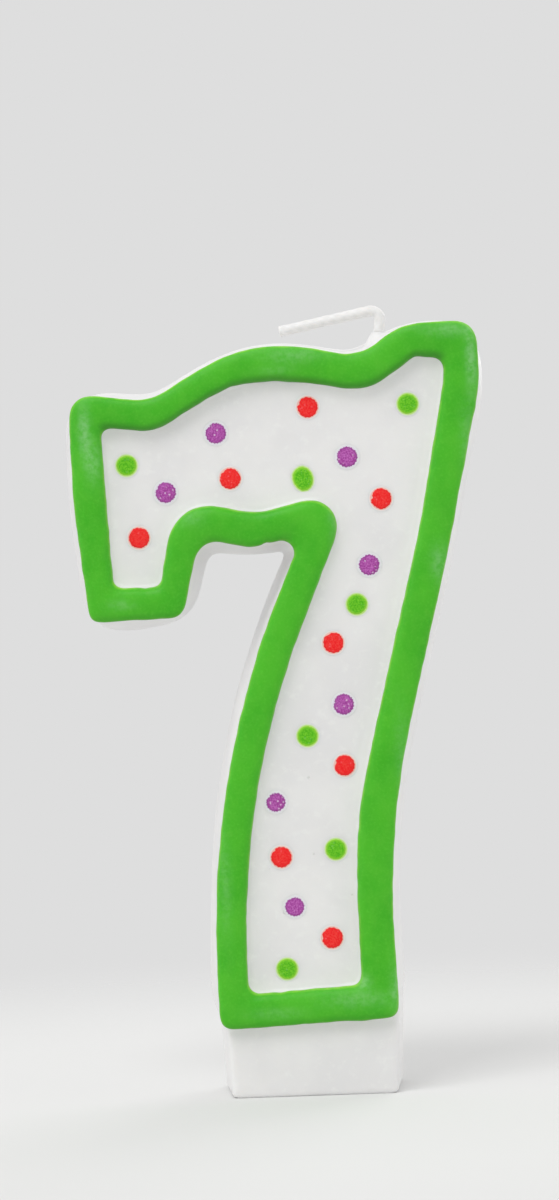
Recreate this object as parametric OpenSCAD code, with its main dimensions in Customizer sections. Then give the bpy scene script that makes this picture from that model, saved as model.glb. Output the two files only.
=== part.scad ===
// Birthday cake candle in the shape of a number seven.
// It stands upright with its front towards -Y, +X to the right of the front and +Z up.
// The origin is the centre of the foot's flat bottom, half way through the thickness.

/* [Wax body] */
// Overall height of the wax, from the foot's flat bottom to the top right corner
height = 76.2; // [70:0.1:110]
// Overall thickness, from the crest of the border to the flat back
thickness = 12; // [9:0.5:18]
// How far the back stands out past the front on every side, so that it leaves the mould
draft = 1.05; // [0.4:0.05:1.15]
// Rounding along the back edge
back_round = 0.6; // [0.2:0.1:1]

/* [Ridge and border] */
// Height of the white ridge above the recessed face
ridge_rise = 0.5; // [0.2:0.1:1]
// Width of the ridge's slope, from its inner edge down to the face
ridge_slope = 0.6; // [0.3:0.1:0.8]
// Height of the coloured border above the ridge that it coats
border_rise = 0.8; // [0.4:0.1:1.4]

/* [Foot] */
// Half width of the foot's front at its bottom
foot_front_half = 8.1; // [6:0.1:8.1]
// Half width of the foot's back at its bottom
foot_back_half = 8.9; // [7:0.1:8.9]
// How much wider each side of the foot is where it joins the numeral
foot_flare = 0.35; // [0:0.05:0.35]

/* [Dots] */
// Diameter of a coloured dot
dot_d = 2; // [1.2:0.1:2.6]
// Thickness of a dot
dot_rise = 0.25; // [0.1:0.05:0.5]

/* [Wick] */
// Diameter of the waxed cotton wick
wick_d = 1.1; // [0.8:0.1:1.6]
// Straight stretch of wick above the wax, before it is folded over
wick_rise = 1.7; // [1:0.1:4]
// Radius of the fold, at the wick's middle
wick_fold_r = 0.9; // [0.9:0.1:2]
// Length of the folded end
wick_end = 9; // [4:0.5:12]
// Slope of the folded end, down to the left
wick_droop = 11; // [0:1:15]

/* [Hidden] */
// Every place and width in the plane of the numeral is drawn for a candle of this height
DRAWN_HEIGHT = 76.2;
k = height / DRAWN_HEIGHT;

crest_y = -thickness / 2;
ridge_y = crest_y + border_rise;
face_y = ridge_y + ridge_rise;
back_y = thickness / 2;

// Steps in each rounded corner of an outline's first side, and across the border's rounded top
STEPS = 5;
CREST_STEPS = 8;

// An outline goes clockwise, seen from the front, as the two sides of the numeral's stroke.
// Each side runs corner by corner as [x, z, radius]. The first goes from the hook's tip up,
// along the top and down the stem. The second goes from the stem's bottom up and back to the tip.
// It has fewer corners, each with more points, so that the points of the two sides pair off.
EDGE_SIDES = [
    [
        [-20.35, 47, 0.9],
        [-21.6, 58.5, 40],
        [-21.75, 69.4, 2],
        [-13.8, 68.25, 5],
        [-4, 74.25, 15],
        [6.7, 71.9, 4.5],
        [10.8, 74.95, 6],
        [18.25, 75.25, 2.1],
        [18.25, 68.7, 10],
        [14.6, 52.3, 90],
        [7.8, 26, 75],
        [8.4, 7.5, 1]
    ],
    [
        [-9, 6.8, 1.1],
        [-9.6, 32.3, 88],
        [0.9, 55.2, 1.3],
        [-4.4, 53.6, 9],
        [-9.5, 55, 2.2],
        [-11.4, 47.2, 1.4]
    ]
];

// The ridge's inner edge, corner for corner with the outline
RECESS_SIDES = [
    [
        [-18.05, 50.2, 0.9],
        [-18.4, 57, 60],
        [-18.8, 66, 0.9],
        [-13.6, 65.4, 4],
        [-4.1, 70.8, 13],
        [7.4, 68.6, 5],
        [12.2, 71.9, 1],
        [14.95, 71.6, 1.2],
        [14.95, 69.6, 8],
        [12.3, 56, 90],
        [4.7, 26.3, 50],
        [4.9, 10.7, 0.9]
    ],
    [
        [-6.25, 10.1, 1],
        [-6.35, 30.2, 81],
        [5.8, 59.4, 2.6],
        [-3.6, 57, 5],
        [-11.7, 58.7, 4],
        [-13.4, 50.2, 0.9]
    ]
];

// The foot reaches up to here inside the numeral
FOOT_TOP = 9;
FOOT_CORNER_R = 0.6;

// Where the wick's straight stretch starts in the foot, and where it leaves the top, as [x, z]
WICK_START = [0.1, 2.5];
WICK_EXIT = [8.8, 74.1];
wick_lean = atan2(WICK_EXIT.x - WICK_START.x, WICK_EXIT.y - WICK_START.y);
wick_inside = norm(WICK_EXIT - WICK_START) * k;
wick_straight = wick_inside + wick_rise;
wick_turn = 90 + wick_lean + wick_droop;

// Wax that has crept up around the wick where it leaves the top
COLLAR_BASE_D = 2.8;
COLLAR_TOP_D = 1.5;
COLLAR_BELOW = 1.1;
COLLAR_ABOVE = 0.6;

WAX_WHITE = [0.93, 0.93, 0.91];
BORDER_GREEN = [0.29, 0.71, 0.18];
WICK_WHITE = [0.9, 0.89, 0.86];
DOT_COLOURS = [[0.95, 0.21, 0.21], [0.69, 0.37, 0.65], [0.45, 0.78, 0.2]];

// Dots on the face: [name, colour, x, z]
RED = 0;
PURPLE = 1;
GREEN = 2;
DOTS = [
    ["dot_red_1", RED, 1.53, 67.27],
    ["dot_red_2", RED, -6.26, 60.57],
    ["dot_red_3", RED, 8.41, 58.09],
    ["dot_red_4", RED, -15.36, 55.07],
    ["dot_red_5", RED, 3.25, 44.18],
    ["dot_red_6", RED, 3.95, 32.16],
    ["dot_red_7", RED, -2.54, 23.42],
    ["dot_red_8", RED, 2.14, 15.38],
    ["dot_purple_1", PURPLE, -7.52, 65.04],
    ["dot_purple_2", PURPLE, 5.22, 62.28],
    ["dot_purple_3", PURPLE, -12.61, 59.41],
    ["dot_purple_4", PURPLE, 7.02, 51.68],
    ["dot_purple_5", PURPLE, 4.06, 38.13],
    ["dot_purple_6", PURPLE, -2.91, 28.8],
    ["dot_purple_7", PURPLE, -1.42, 18.53],
    ["dot_green_1", GREEN, 11.32, 67.26],
    ["dot_green_2", GREEN, -16.34, 62.18],
    ["dot_green_3", GREEN, 0.84, 60.3],
    ["dot_green_4", GREEN, 5.68, 47.86],
    ["dot_green_5", GREEN, 0.41, 35.17],
    ["dot_green_6", GREEN, 2.8, 24.01],
    ["dot_green_7", GREEN, -2.36, 12.49]
];

$fn = 48;

function unit(v) = v / norm(v);

// Points of the arc that rounds the corner q, coming from p and going on to r
function corner_arc(p, q, r, radius, steps) =
    let (
        to_p = unit(p - q),
        to_r = unit(r - q),
        half = acos(to_p * to_r) / 2,
        centre = q + unit(to_p + to_r) * radius / sin(half),
        first = q + to_p * radius / tan(half) - centre,
        last = q + to_r * radius / tan(half) - centre,
        start = atan2(first.y, first.x),
        turn = (atan2(last.y, last.x) - start + 540) % 360 - 180
    )
    [for (i = [0 : steps]) centre + radius * [cos(start + turn * i / steps), sin(start + turn * i / steps)]];

// The closed outline of a stroke with two sides, as equal numbers of points on each
function outline(sides) =
    let (
        corners = concat(sides[0], sides[1]) * k,
        n = len(corners),
        matching_steps = (STEPS + 1) * len(sides[0]) / len(sides[1]) - 1
    )
    [
        for (i = [0 : n - 1])
            let (
                p = corners[(i + n - 1) % n],
                q = corners[i],
                r = corners[(i + 1) % n],
                steps = i < len(sides[0]) ? STEPS : matching_steps
            )
            each corner_arc([p.x, p.y], [q.x, q.y], [r.x, r.y], q.z, steps)
    ];

// A parallel outline, a distance d outwards
function grown(points, d) =
    let (n = len(points))
    [
        for (i = [0 : n - 1])
            let (along = unit(points[(i + 1) % n] - points[(i + n - 1) % n]))
            points[i] + d * [-along.y, along.x]
    ];

function at_depth(points, y) = [for (p = points) [p.x, y, p.y]];

// Triangles between ring j and ring j + 1 of n points, back to front
function band(j, n, rings) = [
    for (i = [0 : n - 1])
        let (
            a = j * n + i,
            b = j * n + (i + 1) % n,
            c = (j + 1) % rings * n + i,
            d = (j + 1) % rings * n + (i + 1) % n
        )
        each [[a, b, d], [a, d, c]]
];

// Triangles across the stroke, which close a flat end on ring j
function end_face(j, n, front) = [
    for (i = [0 : n / 2 - 2])
        let (
            a = j * n + i,
            b = a + 1,
            c = j * n + n - 2 - i,
            d = c + 1
        )
        each front ? [[a, b, c], [a, c, d]] : [[a, c, b], [a, d, c]]
];

// Solid through rings of points that run from the back to the front
module loft(rings) {
    n = len(rings[0]);
    last = len(rings) - 1;
    polyhedron(
        points = [for (ring = rings) each ring],
        faces = [
            each end_face(0, n, false),
            for (j = [0 : last - 1]) each band(j, n, last + 1),
            each end_face(last, n, true)
        ]
    );
}

// Closed hoop through rings that go once round its cross-section
module hoop(rings) {
    count = len(rings);
    polyhedron(
        points = [for (ring = rings) each ring],
        faces = [for (j = [0 : count - 1]) each band(j, len(rings[0]), count)]
    );
}

// The numeral, with its drafted sides, rounded back edge and raised ridge around the face
module numeral() {
    edge = outline(EDGE_SIDES);
    recess = outline(RECESS_SIDES);
    rounding = [
        for (a = [90, 60, 30, 0])
            at_depth(grown(edge, draft - back_round * (1 - cos(a))), back_y - back_round * (1 - sin(a)))
    ];
    loft(concat(rounding, [
        at_depth(edge, ridge_y),
        at_depth(recess, ridge_y),
        at_depth(grown(recess, -ridge_slope), face_y)
    ]));
}

// Plain foot below the numeral, narrower at its bottom and front
module foot() {
    function sides(half) = [
        [[-half, 0, FOOT_CORNER_R], [-half - foot_flare, FOOT_TOP, FOOT_CORNER_R]],
        [[half + foot_flare, FOOT_TOP, FOOT_CORNER_R], [half, 0, FOOT_CORNER_R]]
    ];
    loft([
        at_depth(outline(sides(foot_back_half)), back_y),
        at_depth(outline(sides(foot_front_half)), face_y)
    ]);
}

// Moves its children to the start of the wick, with +Z along its straight stretch
module along_wick() {
    translate([WICK_START.x * k, 0, WICK_START.y * k])
        rotate([0, wick_lean, 0])
            children();
}

module wax_body() {
    color(WAX_WHITE)
        difference() {
            union() {
                numeral();
                foot();
                along_wick()
                    translate([0, 0, wick_inside - COLLAR_BELOW])
                        cylinder(d1 = COLLAR_BASE_D, d2 = COLLAR_TOP_D, h = COLLAR_BELOW + COLLAR_ABOVE);
            }
            along_wick()
                cylinder(d = wick_d, h = wick_straight + wick_d);
        }
}

// The border coats the ridge: flat below, rounded on top
module green_border() {
    edge = outline(EDGE_SIDES);
    recess = outline(RECESS_SIDES);
    color(BORDER_GREEN)
        hoop([
            for (j = [0 : CREST_STEPS])
                let (a = 180 * j / CREST_STEPS, across = (1 - cos(a)) / 2)
                at_depth(edge * (1 - across) + recess * across, ridge_y - border_rise * sin(a))
        ]);
}

// The wick runs up from the foot, leaves the top and is folded over to the left
module wick() {
    color(WICK_WHITE)
        along_wick() {
            cylinder(d = wick_d, h = wick_straight);
            translate([-wick_fold_r, 0, wick_straight]) {
                rotate([90, 0, 0])
                    rotate_extrude(angle = wick_turn)
                        translate([wick_fold_r, 0])
                            circle(d = wick_d);
                rotate([0, -wick_turn, 0])
                    translate([wick_fold_r, 0, 0])
                        cylinder(d = wick_d, h = wick_end);
            }
        }
}

module dot(colour, x, z) {
    color(DOT_COLOURS[colour])
        translate([x * k, face_y, z * k])
            rotate([90, 0, 0])
                cylinder(d = dot_d, h = dot_rise);
}

wax_body();
green_border();
wick();
for (d = DOTS) {
    dot(d[1], d[2], d[3]);
}
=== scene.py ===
"""Looks of the number birthday candle (a seven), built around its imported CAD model.

The frame is in metres. Shapes are worked out in millimetres and scaled when their mesh is made.
x goes right and z up, seen from the decorated front, which faces -y.
"""

import math

import bmesh
import bpy
import numpy as np
from mathutils import Matrix, Vector, noise


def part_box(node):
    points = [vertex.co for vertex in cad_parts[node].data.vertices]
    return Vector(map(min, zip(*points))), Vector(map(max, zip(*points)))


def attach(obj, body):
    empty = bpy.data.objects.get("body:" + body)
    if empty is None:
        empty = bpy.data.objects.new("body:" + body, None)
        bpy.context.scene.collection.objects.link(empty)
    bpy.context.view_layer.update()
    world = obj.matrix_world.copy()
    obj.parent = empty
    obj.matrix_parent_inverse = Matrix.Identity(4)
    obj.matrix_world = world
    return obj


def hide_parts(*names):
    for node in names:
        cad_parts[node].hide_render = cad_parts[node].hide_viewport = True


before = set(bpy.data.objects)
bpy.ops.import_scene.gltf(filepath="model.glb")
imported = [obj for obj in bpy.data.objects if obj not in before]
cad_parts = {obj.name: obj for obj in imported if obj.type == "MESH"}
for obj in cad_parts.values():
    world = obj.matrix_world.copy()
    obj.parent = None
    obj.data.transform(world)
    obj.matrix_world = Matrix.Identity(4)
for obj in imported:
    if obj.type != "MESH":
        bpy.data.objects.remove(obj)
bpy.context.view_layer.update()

MM = 0.001

# Camera, lights and floor. The camera and the floor are in mm, the lights in metres.
AIM = (-1.86, 48.54)  # x and z of the picture's middle
EYE_DISTANCE = 380  # from the candle's front
VIEW_HEIGHT = 116.85  # what the picture's long side shows at the candle's front
SENSOR = 36
CAMERA_ROLL = math.radians(2)
LIGHT_TARGET = (0, 0, 0.045)
LIGHTS = {  # where it stands, its size, its power
    "key": ((-0.2, -0.36, 0.66), 0.32, 1.9),
    "back": ((0.3, 0.55, 0.3), 0.4, 1.0),
    "left": ((-0.6, -0.12, 0.2), 0.4, 0.45),
    "right": ((0.6, -0.15, 0.15), 0.5, 0.3),
}
SURROUND = (222, 222, 222)  # its colour on a screen
SURROUND_LIGHT = 0.99
FLOOR_RADII = (1, 40, 100, 160)

# Outlines and border of green wax
STATION_STEP = 0.2  # between the samples of an outline
EDGE_SOFTENING = 0.35
BORDER_STEPS = 20  # over the crest, from edge to edge
BORDER_SINK = 0.3  # how far its underside reaches into the ridge
BORDER_UNDER = 0.93  # how wide its underside is, as a share of the coat's width
BORDER_LIP = 0.06  # how far the coat overhangs the ridge on each side
BORDER_DROP = 0.34  # how far its inner edge hangs down the side of the ridge
BORDER_SQUARENESS = 0.72  # 1 for an elliptical crest, less for a flatter one

# White wax
VOXEL = 0.2
DRAFT = 1.05
BACK_SOFTENING = 1.2  # the back's outline is rounder at its corners than the front's
BACK_ROUND = 0.7
RECESS_SLOPE = 0.08
LEDGE_WIDTH = 0.65  # a low step in the face, along the border
LEDGE_RISE = 0.08
LEDGE_SLOPE = 0.12
FOOT_TOP = 9
FOOT_FRONT_HALF = 8.1
FOOT_BACK_HALF = 8.9
FOOT_FLARE = 0.35
FOOT_ROUND = 0.4
ROUND_STEPS = 6  # points across each rounded edge of the foot
BACK_HOLLOW = 0.3  # how far the poured back has sunk as it set
HOLLOW_START = 0.8  # distance from the back's outline where it starts to sink
HOLLOW_SLOPE = 3.2

# Wick
WICK_START = np.array([0.1, 2.5])  # x and z of the wick's lower end
WICK_EXIT = np.array([8.8, 74.1])  # and of the place where it leaves the wax
WICK_RISE = 1.7
WICK_FOLD_R = 0.9
WICK_END = 9
WICK_DROOP = math.radians(11)
WICK_R = 0.55
WICK_STEP = 0.06
WICK_AROUND = 36
WICK_GAP = 0.02  # between the wick and the channel's wall
STRANDS = 3  # of the braid, each way round
BRAID_PITCH = 1.1
BRAID_DEPTH = 0.035
CUT_END = [(0.8, 0.07), (0.45, 0.1), (0.15, 0.11)]  # share of the radius, distance past the end
CHANNEL_AROUND = 40
COLLAR = [(-1.1, 1.4), (-0.5, 1.15), (0.0, 0.95), (0.35, 0.8), (0.6, 0.7)]  # along the wick, radius

# Dots
DOT_R = 1.0
DOT_AROUND = 96
DOT_RISE = 0.1
DOT_RINGS = (0.03, 0.2, 0.37, 0.53, 0.68, 0.8, 0.89, 0.95)  # shares of the radius, over the dome
HALO_WIDTH = 0.26


def linear(red, green, blue):
    """A colour given as it looks on a screen, 0 to 255, as the linear values that nodes take."""
    screen = np.array([red, green, blue]) / 255
    values = np.where(screen < 0.04045, screen / 12.92, ((screen + 0.055) / 1.055) ** 2.4)
    return (*values, 1.0)


# ---------- meshes ----------


def make_object(name, points, faces, scale=MM):
    """An object with smooth faces that look outwards, from points in mm. Scale 1 keeps them in mm."""
    mesh = bpy.data.meshes.new(name)
    mesh.from_pydata((np.asarray(points) * scale).tolist(), [], faces)
    bm = bmesh.new()
    bm.from_mesh(mesh)
    bmesh.ops.recalc_face_normals(bm, faces=bm.faces)
    bm.to_mesh(mesh)
    bm.free()
    mesh.shade_smooth()
    made = bpy.data.objects.new(name, mesh)
    bpy.context.scene.collection.objects.link(made)
    return made


def skin(rings, hoop=False):
    """Points and faces of the surface through equal rings. Its ends are capped, or joined in a hoop."""
    rings = np.asarray(rings)
    count, around = rings.shape[:2]
    bands = count if hoop else count - 1
    faces = []
    for j in range(bands):
        a = j * around
        b = (j + 1) % count * around
        faces += [(a + i, a + (i + 1) % around, b + (i + 1) % around, b + i) for i in range(around)]
    if not hoop:
        faces.append(tuple(reversed(range(around))))
        faces.append(tuple(range((count - 1) * around, count * around)))
    return rings.reshape(-1, 3), faces


def at_depth(loop, y):
    """The points of a flat loop of x and z, at that y. The y is one number, or one for each point."""
    return np.column_stack([loop[:, 0], np.broadcast_to(y, len(loop)), loop[:, 1]])


def with_modifiers(made):
    """Applies an object's modifiers to its mesh."""
    graph = bpy.context.evaluated_depsgraph_get()
    mesh = bpy.data.meshes.new_from_object(made.evaluated_get(graph))
    made.modifiers.clear()
    made.data = mesh


def joined(name, parts):
    """One object in mm of several parts' meshes, which are given as points and faces."""
    points, faces = [], []
    for part_points, part_faces in parts:
        start = len(points)
        points += part_points.tolist()
        faces += [tuple(start + i for i in face) for face in part_faces]
    return make_object(name, points, faces, scale=1)


def vectors(vertices, name):
    """The vertices' places (co) or directions (normal), as rows."""
    values = np.empty(len(vertices) * 3)
    vertices.foreach_get(name, values)
    return values.reshape(-1, 3)


def set_attribute(made, name, values):
    """Stores one number a vertex, for the material to read."""
    attribute = made.data.attributes.new(name, "FLOAT", "POINT")
    attribute.data.foreach_set("value", np.asarray(values, np.float32).ravel())


def ripple(points, wavelength, seed):
    """Smooth noise from about -1 to 1 at each of the points, the same on every run."""
    padded = np.column_stack([points, np.zeros((len(points), 3 - points.shape[1]))])
    offset = Vector((seed * 17.3, seed * 5.1, seed * 9.7))
    return np.array([noise.noise(Vector(p) / wavelength + offset) for p in padded.tolist()])


# ---------- outlines, read from the CAD border ----------


def border_edges():
    """The outer and inner edges of the CAD border's flat underside: matching clockwise loops of x, z."""
    plane_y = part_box("green_border")[1].y
    tolerance = 0.01 * MM
    bm = bmesh.new()
    bm.from_mesh(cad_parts["green_border"].data)
    bmesh.ops.remove_doubles(bm, verts=bm.verts, dist=tolerance)
    flat = {f for f in bm.faces if all(abs(v.co.y - plane_y) < tolerance for v in f.verts)}
    rim = [e for e in bm.edges if sum(f in flat for f in e.link_faces) == 1]
    loops = sorted((clockwise(loop) for loop in closed_loops(rim)), key=area)
    bm.free()
    outer, inner = loops[-1], loops[-2]
    turns = range(len(inner))
    best = min(turns, key=lambda t: np.sum((outer - np.roll(inner, -t, 0)) ** 2))
    return outer, np.roll(inner, -best, 0)


def closed_loops(edges):
    """The loops that the edges form, each walked once round: x and z in mm."""
    beside = {}
    for edge in edges:
        a, b = edge.verts
        beside.setdefault(a, []).append(b)
        beside.setdefault(b, []).append(a)
    loops = []
    left = set(beside)
    while left:
        ahead = [min(left, key=lambda v: v.index)]
        walk = []
        while ahead:
            walk.append(ahead[0])
            left.discard(ahead[0])
            ahead = [v for v in beside[ahead[0]] if v in left]
        loops.append(np.array([[v.co.x, v.co.z] for v in walk]) / MM)
    return loops


def signed_area(loop):
    after = np.roll(loop, -1, 0)
    return np.sum(loop[:, 0] * after[:, 1] - after[:, 0] * loop[:, 1]) / 2


def area(loop):
    return abs(signed_area(loop))


def clockwise(loop):
    return loop[::-1] if signed_area(loop) > 0 else loop


def resampled(outer, inner):
    """Both loops, sampled together at even steps along the line half way between them."""
    middle = (outer + inner) / 2
    steps = np.linalg.norm(np.roll(middle, -1, 0) - middle, axis=1)
    reached = np.concatenate([[0], np.cumsum(steps)])
    count = round(reached[-1] / STATION_STEP)
    wanted = np.arange(count) * reached[-1] / count
    i = np.searchsorted(reached, wanted, side="right") - 1
    share = ((wanted - reached[i]) / steps[i])[:, None]
    return [loop[i] * (1 - share) + np.roll(loop, -1, 0)[i] * share for loop in (outer, inner)]


def softened(loop, width=EDGE_SOFTENING):
    """A closed loop blurred along its length."""
    waves = np.fft.fftfreq(len(loop), STATION_STEP)
    kept = np.exp(-2 * (math.pi * waves * width) ** 2)
    return np.fft.ifft(np.fft.fft(loop, axis=0) * kept[:, None], axis=0).real


def outward(loop):
    """Unit vectors that point out of a clockwise loop."""
    along = np.roll(loop, -1, 0) - np.roll(loop, 1, 0)
    along /= np.linalg.norm(along, axis=1)[:, None]
    return np.column_stack([-along[:, 1], along[:, 0]])


def grown(loop, distance):
    """A parallel loop, that distance outwards. The distance is one number, or one for each point."""
    return loop + outward(loop) * np.reshape(distance, (-1, 1))


def near(points, x, z, size_x, size_z=None):
    """1 at a place on the front, falling smoothly to 0 a few sizes away."""
    apart = ((points[:, 0] - x) / size_x) ** 2 + ((points[:, -1] - z) / (size_z or size_x)) ** 2
    return np.exp(-apart)


# ---------- border ----------

# Small flaws of the coat's two edges: x, z, length along the edge, distance out of the loop
OUTER_FLAWS = [
    (-4.5, 53.7, 0.9, 0.14),
    (-3.0, 54.0, 0.35, -0.14),
    (0.7, 54.8, 0.75, -0.3),
    (-0.2, 51.9, 0.5, 0.1),
    (-13.2, 45.9, 0.5, 0.14),
    (-16.0, 46.4, 0.6, -0.1),
    (-1.0, 6.5, 0.5, -0.18),
    (2.2, 6.7, 0.6, -0.1),
    (5.0, 6.9, 0.7, 0.1),
    (18.2, 66.6, 0.7, 0.1),
]
INNER_FLAWS = [
    (-4.2, 58.0, 0.5, -0.12),
    (-14.9, 49.9, 0.4, 0.12),
    (-3.6, 70.0, 1.2, -0.1),
    (-0.8, 70.0, 2.2, -0.15),
    (-5.9, 69.2, 0.5, 0.08),
    (3.6, 59.2, 0.5, 0.12),
    (-3.0, 10.7, 0.5, 0.12),
    (0.4, 10.9, 0.4, -0.1),
    (-17.9, 56.0, 0.5, -0.1),
]


def uneven(loop, flaws, seed):
    """The edge of a coat that flowed and set: a slow wander, a finer one, and the flaws."""
    away = 0.05 * ripple(loop, 3.1, seed) + 0.04 * ripple(loop, 1.1, seed + 1)
    for x, z, length, distance in flaws:
        away = away + distance * near(loop, x, z, length)
    return grown(loop, away)


# Rubbed, whitish places on the border: x, z, half width, half height, strength
SCUFFS = [
    (-20.3, 65.6, 0.55, 2.4, 1.0),
    (-19.6, 62.6, 0.7, 1.8, 0.8),
    (17.6, 71.5, 0.5, 3.4, 1.0),
    (15.6, 74.3, 2.2, 0.6, 0.7),
    (17.0, 63.5, 0.7, 3.0, 0.45),
    (13.9, 51.6, 0.8, 1.6, 0.7),
    (0.3, 72.3, 2.6, 0.7, 0.55),
    (-1.5, 70.9, 1.6, 0.4, 0.35),
    (4.6, 9.4, 3.2, 0.7, 0.6),
    (-3.5, 8.3, 2.4, 0.5, 0.4),
    (8.2, 10.4, 0.5, 2.2, 0.8),
    (5.1, 11.0, 0.6, 0.7, 0.9),
    (-8.1, 21.0, 0.6, 5.0, 0.35),
    (9.6, 33.0, 0.7, 4.0, 0.35),
    (-17.3, 48.6, 1.2, 0.5, 0.45),
    (-10.2, 56.8, 1.2, 0.8, 0.4),
    (3.8, 56.4, 0.6, 2.6, 0.45),
]


def crest(middle, rise):
    """How high the coat stands all the way along, and how far its crest leans outwards."""
    height = rise * (1 + 0.05 * ripple(middle, 5.0, 7) + 0.03 * ripple(middle, 1.7, 8))
    lean = 0.12 * ripple(middle, 6.0, 9)
    return height, lean


def painted_edge_light(line, side):
    """How much painted highlight or painted shade the coat's thin edge gets along a line: lighter where the
    edge faces up, darker where it faces down.
    """
    upwards = outward(line)[:, 1]
    return 0.6 + 0.4 * upwards if side > 0 else np.clip(0.7 - 0.75 * upwards, 0, 1)


def make_border(outer, inner):
    """The coat of green wax: a bead that covers the ridge, with rounded edges and an uneven crest."""
    low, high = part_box("green_border")
    ridge_y = high.y / MM
    outer = grown(uneven(outer, OUTER_FLAWS, 1), BORDER_LIP)
    inner = grown(uneven(inner, INNER_FLAWS, 4), -BORDER_LIP)
    height, lean = crest((outer + inner) / 2, ridge_y - low.y / MM)
    rings, thin, lit = [], [], []
    for j in range(2 * BORDER_STEPS):
        a = math.pi * j / BORDER_STEPS
        side = math.cos(a)  # 1 at the outer edge, -1 at the inner one
        if j <= BORDER_STEPS:
            up = height * math.sin(a) ** BORDER_SQUARENESS * (1 + lean * side)
        else:
            up = np.full(len(outer), BORDER_SINK * math.sin(a))
            side *= BORDER_UNDER
        up = up - BORDER_DROP * max(-side, 0) ** 6
        line = outer * (1 + side) / 2 + inner * (1 - side) / 2
        rings.append(at_depth(line, ridge_y - up))
        thin.append(np.full(len(outer), abs(side)))
        # lit: painted highlight on the edges that face up, painted shade on those that face down
        lit.append(painted_edge_light(line, side))
    points, faces = skin(rings, hoop=True)
    border = make_object("border_coat", points, faces)
    scuff = sum(s * near(points, x, z, w, h) for x, z, w, h, s in SCUFFS)
    set_attribute(border, "scuff", np.clip(scuff, 0, 1))
    set_attribute(border, "thin", thin)
    set_attribute(border, "lit", lit)
    border.data.materials.append(green_wax())
    return border


# ---------- white wax ----------

# Where the walls spread more or less towards the back: x, z, length along the edge, change
DRAFT_CHANGES = [
    (-16.8, 46.4, 1.8, 0.25),
    (-13.4, 46.6, 1.5, -0.4),
    (-4.5, 54.0, 3.0, -0.12),
    (-10.0, 20.0, 12.0, -0.24),
]


def numeral_shell(outer, inner, ridge_y, face_y, back_y):
    """The seven: rounded back edge, drafted walls, ridge and recessed face."""
    draft = DRAFT + 0.07 * ripple(outer, 4.5, 12) + 0.05 * ripple(outer, 1.6, 13)
    for x, z, length, more in DRAFT_CHANGES:
        draft += more * near(outer, x, z, length)
    back = softened(grown(outer, draft), BACK_SOFTENING)
    rings = []
    for a in np.radians(np.linspace(90, 0, 7)):
        depth = back_y - BACK_ROUND * (1 - math.sin(a))
        rings.append(at_depth(grown(back, BACK_ROUND * (math.cos(a) - 1)), depth))
    start_y = back_y - BACK_ROUND
    for share in np.linspace(0, 1, 13)[1:]:
        rings.append(at_depth(back + share * (outer - back), start_y + share * (ridge_y - start_y)))
    rings.append(at_depth(inner, ridge_y))
    rings.append(at_depth(grown(inner, -RECESS_SLOPE), face_y - LEDGE_RISE))
    rings.append(at_depth(grown(inner, -LEDGE_WIDTH), face_y - LEDGE_RISE))
    rings.append(at_depth(grown(inner, -LEDGE_WIDTH - LEDGE_SLOPE), face_y))
    return skin(rings)


def rounded_block(half_bottom, half_top, top, corner):
    """A loop that widens from half_bottom at z 0 to half_top at z top, with rounded corners."""
    corners = [(-half_top, top), (half_top, top), (half_bottom, 0), (-half_bottom, 0)]
    loop = []
    for (x, z), up, first in zip(corners, (-1, -1, 1, 1), (180, 90, 0, -90)):
        middle_x = x - math.copysign(corner, x)
        middle_z = z + corner * up
        for step in range(7):
            a = math.radians(first - 15 * step)
            loop.append((middle_x + corner * math.cos(a), middle_z + corner * math.sin(a)))
    return np.array(loop)


def foot_shell(face_y, back_y):
    """The plain foot, with its front and back edges rounded."""
    rings = []
    depth = back_y - face_y
    for y, inset in edge_profile(back_y, face_y):
        share = (back_y - y) / depth
        half = FOOT_BACK_HALF + share * (FOOT_FRONT_HALF - FOOT_BACK_HALF)
        block = rounded_block(half - inset, half + FOOT_FLARE - inset, FOOT_TOP, FOOT_ROUND)
        rings.append(at_depth(block, y))
    return skin(rings)


def edge_profile(back, front):
    """Depths and insets from the foot's rounded back edge to its rounded front edge."""
    profile = []
    for a in np.radians(np.linspace(90, 0, ROUND_STEPS)):
        profile.append((back - BACK_ROUND * (1 - math.sin(a)), BACK_ROUND * (1 - math.cos(a))))
    for a in np.radians(np.linspace(0, 90, ROUND_STEPS)):
        profile.append((front + FOOT_ROUND * (1 - math.sin(a)), FOOT_ROUND * (1 - math.cos(a))))
    return profile


def wick_axis():
    """Unit vectors along the wick's straight stretch and to its left."""
    along = (WICK_EXIT - WICK_START) / np.linalg.norm(WICK_EXIT - WICK_START)
    return along, np.array([-along[1], along[0]])


def round_rings(centres, normals, radii, around):
    """Rings about centres of x and z at y 0. The normals lie in the xz plane too."""
    turn = np.linspace(0, 2 * math.pi, around, endpoint=False)
    rings = []
    for centre, normal, radius in zip(centres, normals, radii):
        radius = np.broadcast_to(radius, turn.shape)
        flat = centre + np.outer(radius * np.cos(turn), normal)
        rings.append(np.column_stack([flat[:, 0], radius * np.sin(turn), flat[:, 1]]))
    return np.array(rings)


def collar_shell():
    """Wax that crept up around the wick where it leaves the top."""
    along, left = wick_axis()
    places, radii = zip(*COLLAR)
    centres = [WICK_EXIT + along * s for s in places]
    return skin(round_rings(centres, [left] * len(COLLAR), radii, CHANNEL_AROUND))


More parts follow.
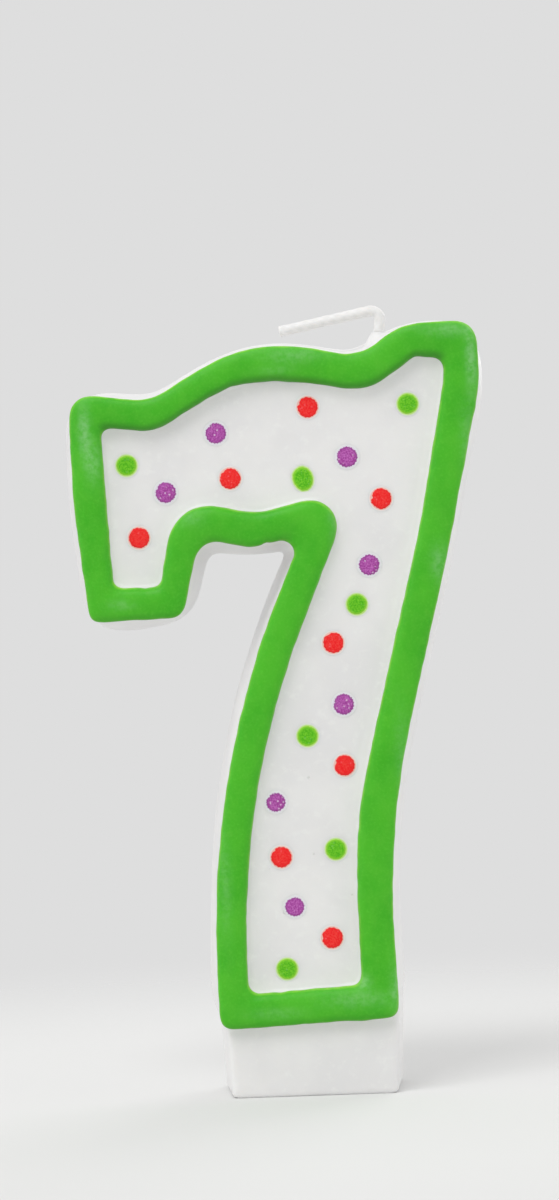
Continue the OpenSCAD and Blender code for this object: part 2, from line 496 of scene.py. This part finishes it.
def cut_channel(body):
    """Takes the wick's channel out of the wax, from just below the wick to above the collar."""
    along, left = wick_axis()
    ends = [WICK_START - along * 0.1, WICK_EXIT + along * (WICK_RISE + 1)]
    points, faces = skin(round_rings(ends, [left, left], [WICK_R + WICK_GAP] * 2, CHANNEL_AROUND))
    tool = make_object("channel", points, faces, scale=1)
    cut = body.modifiers.new("channel", "BOOLEAN")
    cut.operation = "DIFFERENCE"
    cut.solver = "MANIFOLD"
    cut.object = tool
    with_modifiers(body)
    bpy.data.objects.remove(tool)
    dissolve_midpoints(body)


def dissolve_midpoints(made):
    """Dissolves the points that only two edges meet in, which a cut leaves along its rim."""
    bm = bmesh.new()
    bm.from_mesh(made.data)
    midpoints = [v for v in bm.verts if len(v.link_edges) == 2]
    bmesh.ops.dissolve_verts(bm, verts=midpoints)
    bm.to_mesh(made.data)
    bm.free()


def wax_wave(points):
    """How far cast wax stands out of its drawn surface: a slow waviness and a finer one."""
    return 0.03 * ripple(points, 6.0, 21) + 0.012 * ripple(points, 2.2, 22)


def settle(body, outer, back_y):
    """The small unevenness of cast wax: a slow waviness all over, and a back that sank along its middle."""
    points = vectors(body.data.vertices, "co")
    normals = vectors(body.data.vertices, "normal")
    points = points + normals * wax_wave(points)[:, None]
    inside = depth_inside(points[:, [0, 2]], grown(outer, DRAFT))
    sunk = BACK_HOLLOW * np.clip((inside - HOLLOW_START) / HOLLOW_SLOPE, 0, 1) ** 1.2
    facing_back = np.clip(normals[:, 1], 0, 1) * (points[:, 1] > back_y - 0.5)
    points[:, 1] -= sunk * facing_back
    points[:, 2] = np.maximum(points[:, 2], 0)
    body.data.vertices.foreach_set("co", points.ravel())
    body.data.update()


def depth_inside(points, loop, block=4000):
    """Distance of each point to the nearest of every third sample, by blocks to save memory."""
    nearest = np.empty(len(points))
    coarse = loop[::3]
    for start in range(0, len(points), block):
        some = points[start : start + block]
        apart = ((some[:, None] - coarse[None]) ** 2).sum(2)
        nearest[start : start + block] = np.sqrt(apart.min(1))
    return nearest


def make_wax(outer, inner):
    """The white casting as one skin: shells joined, remeshed to soften every edge, then settled."""
    back_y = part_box("wax_body")[1].y / MM
    ridge_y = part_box("green_border")[1].y / MM
    face_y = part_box("dot_red_1")[1].y / MM
    numeral = numeral_shell(outer, inner, ridge_y, face_y, back_y)
    body = joined("wax_casting", [numeral, foot_shell(face_y, back_y), collar_shell()])
    remesh = body.modifiers.new("remesh", "REMESH")
    remesh.mode = "VOXEL"
    remesh.voxel_size = VOXEL
    smooth = body.modifiers.new("smooth", "SMOOTH")
    smooth.factor = 0.5
    smooth.iterations = 4
    with_modifiers(body)
    settle(body, outer, back_y)
    cut_channel(body)
    body.data.transform(Matrix.Scale(MM, 4))
    body.data.shade_smooth()
    body.data.materials.clear()
    body.data.materials.append(white_wax())
    return body


# ---------- wick ----------


def wick_path():
    """Centres and normals along the wick, and how far along each is: straight, folded over, straight."""
    along, left = wick_axis()
    straight = np.linalg.norm(WICK_EXIT - WICK_START) + WICK_RISE
    turn = math.pi / 2 + math.atan2(along[0], along[1]) + WICK_DROOP
    fold = turn * WICK_FOLD_R
    total = straight + fold + WICK_END
    reached = np.linspace(0, total, round(total / WICK_STEP))
    centres, normals = [], []
    pivot = WICK_START + along * straight + left * WICK_FOLD_R
    for s in reached:
        a = np.clip((s - straight) / WICK_FOLD_R, 0, turn)
        heading = along * math.cos(a) + left * math.sin(a)
        side = left * math.cos(a) - along * math.sin(a)
        bend = pivot - side * WICK_FOLD_R
        centres.append(bend + heading * (min(s - straight, 0) + max(s - straight - fold, 0)))
        normals.append(side)
    return np.array(centres), np.array(normals), reached


def braid(turn, s):
    """Height of a braid's strands, 0 in the gaps to 1 on the crests, around and along a round cord."""
    relief = []
    for way in (1, -1):
        phase = STRANDS * turn / (2 * math.pi) + way * s / BRAID_PITCH
        crossing = STRANDS * turn / (2 * math.pi) - way * s / BRAID_PITCH
        ridge = np.abs(np.cos(math.pi * phase)) ** 0.8
        weave = np.cos(math.pi * (phase + crossing)) * np.cos(math.pi * (phase - crossing))
        over = 0.5 + 0.5 * weave * way
        relief.append(ridge * (0.65 + 0.35 * over))
    return np.maximum(*relief)


def cut_end(centre, inwards, normal, radii):
    """Rings that round off one end of the wick, from its rim to its middle."""
    heading = (centre - inwards) / np.linalg.norm(centre - inwards)
    shares, shifts = zip(*CUT_END)
    places = [centre + heading * shift for shift in shifts]
    sizes = [radii * share for share in shares]
    return round_rings(places, [normal] * len(CUT_END), sizes, WICK_AROUND)


def make_wick():
    """Braided cotton, its strands half filled with wax, with a cut end."""
    centres, normals, reached = wick_path()
    turn = np.linspace(0, 2 * math.pi, WICK_AROUND, endpoint=False)
    relief = braid(turn[None, :], reached[:, None])
    wobble = 0.02 * ripple(np.column_stack([centres, reached]), 2.5, 31)
    radii = WICK_R - BRAID_DEPTH * (1 - relief) + wobble[:, None]
    middle = round_rings(centres, normals, radii, WICK_AROUND)
    bottom = cut_end(centres[0], centres[1], normals[0], radii[0])
    tip = cut_end(centres[-1], centres[-2], normals[-1], radii[-1])
    points, faces = skin(np.concatenate([bottom[::-1], middle, tip]))
    relief = np.pad(relief, ((len(CUT_END), len(CUT_END)), (0, 0)), mode="edge")
    wick = make_object("braided_wick", points, faces)
    set_attribute(wick, "relief", relief)
    wick.data.materials.append(waxed_cotton())
    return wick


# ---------- dots ----------

# Each colour's pads: size, slow unevenness, number and height of small teeth, depth of one nibbled place
DOT_KINDS = {
    "red": {"size": 0.99, "wander": 0.07, "teeth": 15, "tooth": 0.03, "nibble": 0.18},
    "purple": {"size": 0.985, "wander": 0.035, "teeth": 21, "tooth": 0.045, "nibble": 0.14},
    "green": {"size": 0.965, "wander": 0.05, "teeth": 13, "tooth": 0.012, "nibble": 0.0},
}
OVAL_DOTS = {  # width, height, tilt
    "dot_green_3": (0.96, 1.2, 14),
    "dot_purple_6": (0.93, 0.9, 0),
    "dot_purple_7": (0.92, 0.92, 0),
}


def dot_edge(kind, name, seed, turn):
    """The pad's radius all the way round: a slow wander, small teeth and one nibbled place."""
    shape = DOT_KINDS[kind]
    circle = np.column_stack([np.cos(turn), np.sin(turn)])
    wander = shape["wander"] * ripple(circle, 0.8, 40 + seed)
    teeth = shape["tooth"] * np.sin(shape["teeth"] * turn + 5 * ripple(circle, 0.5, 60 + seed))
    nibble_at = 2 * math.pi * (0.31 + 0.19 * (seed * 0.618 % 1))
    apart = np.angle(np.exp(1j * (turn - nibble_at)))
    nibble = shape["nibble"] * np.exp(-((apart / 0.16) ** 2)) * (0.4 + 0.6 * (seed * 0.414 % 1))
    radius = DOT_R * shape["size"] * (1 + wander + teeth - nibble)
    if name in OVAL_DOTS:
        wide, tall, tilt = OVAL_DOTS[name]
        a = turn - math.radians(tilt + 90)
        radius = radius / np.hypot(np.cos(a) / tall, np.sin(a) / wide)
    return radius


def dot_profile(edge, halo):
    """The pad's rings: radius, height and stain, which is 0 to 0.1 on the dome and 1 at the outside."""
    dome = []
    for share in DOT_RINGS:
        dome.append((edge * share, DOT_RISE * (1 - share**5) ** 0.5, 0.08 * max(share - 0.7, 0) / 0.3))
    foot = [
        (edge - 0.02, DOT_RISE * 0.4, 0.09),
        (edge, 0.022, 0.1),
        (edge + 0.02, 0.018, 0.3),
    ]
    film = [
        (np.maximum(edge + 0.035, halo + 0.4 * HALO_WIDTH), 0.016, 0.5),
        (halo + 0.75 * HALO_WIDTH, 0.012, 0.8),
        (halo + HALO_WIDTH - 0.01, 0.009, 1.0),
        (halo + HALO_WIDTH, 0.008, 1.0),
    ]
    underside = [
        (halo + HALO_WIDTH + 0.005, -0.03, 1.0),
        (halo * 0.5, -0.1, 1.0),
        (halo * 0.03, -0.1, 1.0),
    ]
    return dome + foot + film + underside


def make_dot(name, seed):
    """A pad of coloured wax pressed onto the face, with a thin stained halo around it."""
    kind = name.split("_")[1]
    low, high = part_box(name)
    x = (low.x + high.x) / 2 / MM
    z = (low.z + high.z) / 2 / MM
    turn = np.linspace(0, 2 * math.pi, DOT_AROUND, endpoint=False)
    edge = dot_edge(kind, name, seed, turn)
    halo = edge if name in OVAL_DOTS else np.full(len(turn), edge.mean())
    rings, rim = [], []
    for radius, up, stain in dot_profile(edge, halo):
        flat = np.column_stack([x + radius * np.cos(turn), z + radius * np.sin(turn)])
        ring = at_depth(flat, high.y / MM)
        grain = 0.015 * ripple(ring, 0.16, 80 + seed) if stain < 0.09 else 0
        ring[:, 1] -= up + grain + wax_wave(ring)
        rings.append(ring)
        rim.append(np.full(len(turn), stain))
    points, faces = skin(rings)
    dot = make_object(name.replace("dot", "pad"), points, faces)
    set_attribute(dot, "rim", rim)
    dot.data.materials.append(dot_wax(kind))
    return dot


# ---------- materials ----------


def new_material(name):
    """A material with its node tree and its Principled shader."""
    material = bpy.data.materials.new(name)
    material.use_nodes = True
    tree = material.node_tree
    return material, tree, tree.nodes["Principled BSDF"]


def add(tree, kind, inputs, **settings):
    """A new node with its settings made and its inputs set or linked."""
    node = tree.nodes.new(kind)
    for key, value in settings.items():
        setattr(node, key, value)
    for key, value in inputs.items():
        if isinstance(value, bpy.types.NodeSocket):
            tree.links.new(value, node.inputs[key])
        else:
            node.inputs[key].default_value = value
    return node


def place(tree, stretch=(1, 1, 1)):
    """Where a surface point is, in mm, with its axes stretched."""
    spot = tree.nodes.new("ShaderNodeTexCoord").outputs["Object"]
    scale = Vector(stretch) / MM
    return add(tree, "ShaderNodeMapping", {"Vector": spot, "Scale": scale}).outputs[0]


def mottle(tree, where, size, detail=2.0, roughness=0.5):
    """Noise from 0 to 1 whose patches are about that many mm across."""
    inputs = {"Vector": where, "Scale": 1 / size, "Detail": detail, "Roughness": roughness}
    return add(tree, "ShaderNodeTexNoise", inputs).outputs["Fac"]


def spread(tree, value, low, high, to_low=0.0, to_high=1.0):
    """The value's range from low to high, mapped smoothly onto another one and clamped."""
    inputs = {"Value": value, "From Min": low, "From Max": high, "To Min": to_low, "To Max": to_high}
    return add(tree, "ShaderNodeMapRange", inputs, interpolation_type="SMOOTHSTEP").outputs[0]


def times(tree, a, b):
    return add(tree, "ShaderNodeMath", {0: a, 1: b}, operation="MULTIPLY").outputs[0]


def plus(tree, a, b):
    return add(tree, "ShaderNodeMath", {0: a, 1: b}, operation="ADD").outputs[0]


def colours(tree, share, first, second):
    """A colour that goes from the first to the second as the share goes from 0 to 1."""
    inputs = {0: share, 6: first, 7: second}
    return add(tree, "ShaderNodeMix", inputs, data_type="RGBA").outputs[2]


def read(tree, name):
    """A number that the mesh holds for each point."""
    return add(tree, "ShaderNodeAttribute", {}, attribute_name=name).outputs["Fac"]


def bumped(tree, shader, height, distance):
    """Gives the shader a relief of that many mm."""
    bump = add(tree, "ShaderNodeBump", {"Height": height, "Distance": distance * MM, "Strength": 1.0})
    tree.links.new(bump.outputs[0], shader.inputs["Normal"])


def scatter(shader, weight, distance, radius):
    """Light that enters the wax and comes out up to about that many mm away."""
    shader.inputs["Subsurface Weight"].default_value = weight
    shader.inputs["Subsurface Scale"].default_value = distance * MM
    shader.inputs["Subsurface Radius"].default_value = radius


def white_wax():
    """Paraffin: milky, satin, with faint cloudiness, a dull bloom and fine pinholes."""
    material, tree, shader = new_material("white_wax")
    where = place(tree)
    cloud = mottle(tree, where, 7.0, 3.0)
    bloom = mottle(tree, where, 0.9, 4.0, 0.6)
    base = colours(tree, spread(tree, cloud, 0.35, 0.65), linear(237, 236, 235), linear(231, 230, 230))
    base = colours(tree, spread(tree, bloom, 0.52, 0.72, 0.0, 0.5), base, linear(241, 241, 239))
    cells = add(tree, "ShaderNodeTexVoronoi", {"Vector": where, "Scale": 0.42, "Randomness": 1.0})
    pinhole = spread(tree, cells.outputs["Distance"], 0.03, 0.07, 1.0, 0.0)
    rare = spread(tree, mottle(tree, where, 3.0, 0.0), 0.52, 0.56)
    pinhole = times(tree, pinhole, rare)
    base = colours(tree, times(tree, pinhole, 0.35), base, linear(196, 194, 190))
    tree.links.new(base, shader.inputs["Base Color"])
    tree.links.new(spread(tree, bloom, 0.3, 0.7, 0.36, 0.52), shader.inputs["Roughness"])
    scatter(shader, 0.4, 0.6, (1.0, 0.95, 0.9))
    height = plus(tree, times(tree, mottle(tree, where, 0.35, 3.0), 0.35), times(tree, cloud, 1.2))
    height = plus(tree, height, times(tree, pinhole, -2.0))
    bumped(tree, shader, height, 0.03)
    return material


def thin_edges_and_painted_light(tree, where, base):
    """The coat's colour towards its edges: painted shade on the edges that face down, then a thin yellowish
    rim for the thin coat, brightened as a painted highlight where the edge faces up.
    """
    thin = read(tree, "thin")
    lit = read(tree, "lit")
    slope = spread(tree, thin, 0.5, 0.95, 0.0, 0.8)
    # Painted shade near the edges that face down, read from the lit attribute.
    shaded = times(tree, slope, spread(tree, lit, 0.0, 0.35, 1.0, 0.0))
    base = colours(tree, shaded, base, linear(52, 138, 22))
    # The rim's colour goes from dim to bright with lit: a painted highlight on the edges that face up.
    edge = colours(tree, lit, linear(72, 150, 36), linear(146, 218, 60))
    ragged = spread(tree, mottle(tree, where, 1.3, 3.0, 0.6), 0.3, 0.65, 0.25, 0.85)
    return colours(tree, times(tree, spread(tree, thin, 0.84, 0.98), ragged), base, edge)


def green_wax():
    """Pigmented wax: thinner and yellower at its edges, with painted highlights and painted shade along
    them, mottled, and scuffed white where it was rubbed.
    """
    material, tree, shader = new_material("green_wax")
    where = place(tree)
    patches = mottle(tree, where, 4.5)
    blotches = mottle(tree, where, 0.9)
    fine = mottle(tree, where, 0.25, 3.0, 0.6)
    base = colours(tree, spread(tree, patches, 0.3, 0.7), linear(60, 177, 10), linear(74, 187, 22))
    base = colours(tree, spread(tree, blotches, 0.35, 0.75, 0.0, 0.35), base, linear(86, 190, 38))
    base = colours(tree, spread(tree, fine, 0.45, 0.75, 0.0, 0.3), base, linear(98, 204, 50))
    base = thin_edges_and_painted_light(tree, where, base)
    worn = spread(tree, mottle(tree, where, 0.6, 4.0, 0.65), 0.3, 0.66, 0.25, 1.0)
    rubbed = times(tree, read(tree, "scuff"), worn)
    base = colours(tree, times(tree, rubbed, 0.55), base, linear(158, 214, 150))
    tree.links.new(base, shader.inputs["Base Color"])
    gloss = spread(tree, patches, 0.3, 0.7, 0.44, 0.52)
    shader.inputs["Specular IOR Level"].default_value = 0.35
    tree.links.new(plus(tree, gloss, times(tree, rubbed, 0.25)), shader.inputs["Roughness"])
    scatter(shader, 0.35, 0.5, (0.4, 1.0, 0.3))
    height = plus(tree, times(tree, fine, 0.6), times(tree, blotches, 0.8))
    height = plus(tree, height, times(tree, patches, 1.3))
    bumped(tree, shader, height, 0.035)
    return material


# Colours of a pad: body, grains, rim, halo and the glow around that. Then how strong its painted glints
# are.
DOT_COLOURS = {
    "red": [(252, 14, 24), (255, 66, 58), (252, 34, 38), (255, 196, 184), (253, 243, 240), 0.12],
    "purple": [(160, 56, 150), (204, 116, 198), (148, 58, 142), (242, 230, 244), (247, 246, 247), 1.0],
    "green": [(76, 182, 4), (126, 210, 40), (158, 222, 60), (200, 240, 132), (236, 243, 222), 0.08],
}
dot_materials = {}


def dot_wax(kind):
    """Coloured wax that was pressed on: grainy, with painted glints (whitish flecks in its colour, glossier
    there), and a stain around it.
    """
    if kind in dot_materials:
        return dot_materials[kind]
    *screen_colours, painted_glint_strength = DOT_COLOURS[kind]
    body_colour, grain_colour, rim_colour, halo_colour, glow = [linear(*c) for c in screen_colours]
    material, tree, shader = new_material(kind + "_pad_wax")
    where = place(tree)
    grain = mottle(tree, where, 0.14, 2.0, 0.6)
    rim = read(tree, "rim")
    base = colours(tree, spread(tree, grain, 0.35, 0.7), body_colour, grain_colour)
    cells = add(tree, "ShaderNodeTexVoronoi", {"Vector": where, "Scale": 2.4, "Randomness": 1.0})
    painted_glint = spread(tree, cells.outputs["Distance"], 0.15, 0.27, painted_glint_strength, 0.0)
    painted_glint = times(tree, painted_glint, spread(tree, mottle(tree, where, 0.7, 0.0), 0.36, 0.42))
    # Painted glints: the colour is lightened to near white in small flecks.
    base = colours(tree, times(tree, painted_glint, 0.75), base, linear(246, 226, 244))
    base = colours(tree, spread(tree, rim, 0.0, 0.09, 0.0, 0.8), base, rim_colour)
    base = colours(tree, spread(tree, rim, 0.1, 0.28), base, halo_colour)
    base = colours(tree, spread(tree, rim, 0.4, 0.75), base, glow)
    base = colours(tree, spread(tree, rim, 0.8, 1.0), base, linear(237, 236, 236))
    tree.links.new(base, shader.inputs["Base Color"])
    tree.links.new(spread(tree, painted_glint, 0.0, 1.0, 0.55, 0.2), shader.inputs["Roughness"])
    shader.inputs["Specular IOR Level"].default_value = 0.25
    scatter(shader, 0.3, 0.4, (1.0, 0.8, 0.8))
    grains = plus(tree, grain, times(tree, painted_glint, 1.5))
    bumped(tree, shader, times(tree, grains, spread(tree, rim, 0.1, 0.3, 1.0, 0.1)), 0.03)
    dot_materials[kind] = material
    return material


def waxed_cotton():
    """White cotton strands with wax between them."""
    material, tree, shader = new_material("waxed_cotton")
    where = place(tree)
    fibres = mottle(tree, place(tree, (1.0, 5.0, 5.0)), 0.5, 3.0, 0.7)
    relief = read(tree, "relief")
    base = colours(tree, spread(tree, relief, 0.5, 1.0), linear(228, 227, 226), linear(235, 234, 233))
    base = colours(tree, spread(tree, fibres, 0.4, 0.7, 0.0, 0.3), base, linear(243, 242, 242))
    tree.links.new(base, shader.inputs["Base Color"])
    dull = mottle(tree, where, 0.6)
    tree.links.new(spread(tree, dull, 0.3, 0.7, 0.4, 0.6), shader.inputs["Roughness"])
    scatter(shader, 0.4, 0.5, (1.0, 0.95, 0.9))
    bumped(tree, shader, fibres, 0.02)
    return material


def floor_material(radius):
    """Plain pale matt floor that fades out, so that it has no edge. The radius is in metres."""
    material, tree, shader = new_material("floor")
    shader.inputs["Base Color"].default_value = linear(226, 226, 225)
    shader.inputs["Roughness"].default_value = 0.9
    shader.inputs["Specular IOR Level"].default_value = 0.1
    spot = tree.nodes.new("ShaderNodeTexCoord").outputs["Object"]
    away = add(tree, "ShaderNodeVectorMath", {0: spot}, operation="LENGTH").outputs["Value"]
    tree.links.new(spread(tree, away, radius * 0.3, radius * 0.98, 1.0, 0.0), shader.inputs["Alpha"])
    return material


# ---------- studio ----------


def make_camera():
    """Straight in front of the candle's middle, and rolled, so that the candle leans to the left."""
    data = bpy.data.cameras.new("camera")
    data.sensor_width = SENSOR
    data.lens = SENSOR * EYE_DISTANCE / VIEW_HEIGHT
    data.clip_start = 0.01
    data.clip_end = 10
    camera = bpy.data.objects.new("camera", data)
    bpy.context.scene.collection.objects.link(camera)
    front_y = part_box("green_border")[0].y / MM
    right = Vector((math.cos(CAMERA_ROLL), 0, -math.sin(CAMERA_ROLL)))
    up = Vector((math.sin(CAMERA_ROLL), 0, math.cos(CAMERA_ROLL)))
    turned = Matrix((right, up, Vector((0, -1, 0)))).transposed().to_4x4()
    eye = Vector((AIM[0], front_y - EYE_DISTANCE, AIM[1])) * MM
    camera.matrix_world = Matrix.Translation(eye) @ turned
    bpy.context.scene.camera = camera


def make_light(name, position, size, power):
    """A square soft light that faces the candle."""
    data = bpy.data.lights.new(name, "AREA")
    data.size = size
    data.energy = power
    light = bpy.data.objects.new(name, data)
    bpy.context.scene.collection.objects.link(light)
    light.location = position
    towards = Vector(LIGHT_TARGET) - Vector(position)
    light.rotation_euler = towards.to_track_quat("-Z", "Y").to_euler()


def make_world(seen, strength):
    """A pale surround. The camera sees its plain colour, and the light from it is weaker."""
    world = bpy.data.worlds.new("studio")
    world.use_nodes = True
    tree = world.node_tree
    background = tree.nodes["Background"]
    background.inputs["Color"].default_value = seen
    camera_ray = tree.nodes.new("ShaderNodeLightPath").outputs["Is Camera Ray"]
    tree.links.new(spread(tree, camera_ray, 0.0, 1.0, strength, 1.0), background.inputs["Strength"])
    bpy.context.scene.world = world


def make_floor():
    """A disc under the candle."""
    turn = np.linspace(0, 2 * math.pi, 64, endpoint=False)
    rings = [np.column_stack([r * np.cos(turn), r * np.sin(turn), 0 * turn]) for r in FLOOR_RADII]
    points, faces = skin(rings)
    floor = make_object("floor", points, faces[:-1])
    floor.data.materials.append(floor_material(FLOOR_RADII[-1] * MM))


def make_studio():
    make_camera()
    make_floor()
    make_world(linear(*SURROUND), SURROUND_LIGHT)
    for name, settings in LIGHTS.items():
        make_light(name, *settings)
    bpy.context.scene.view_settings.view_transform = "Standard"


# ---------- the candle ----------


def stand_for(piece, node):
    """The piece takes the place of a CAD node."""
    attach(piece, "root")
    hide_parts(node)


make_studio()
outer_edge, inner_edge = (softened(loop) for loop in resampled(*border_edges()))
stand_for(make_wax(outer_edge, inner_edge), "wax_body")
stand_for(make_border(outer_edge, inner_edge), "green_border")
stand_for(make_wick(), "wick")
dot_names = sorted(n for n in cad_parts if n.startswith("dot_"))
for number, dot_name in enumerate(dot_names):
    stand_for(make_dot(dot_name, number), dot_name)
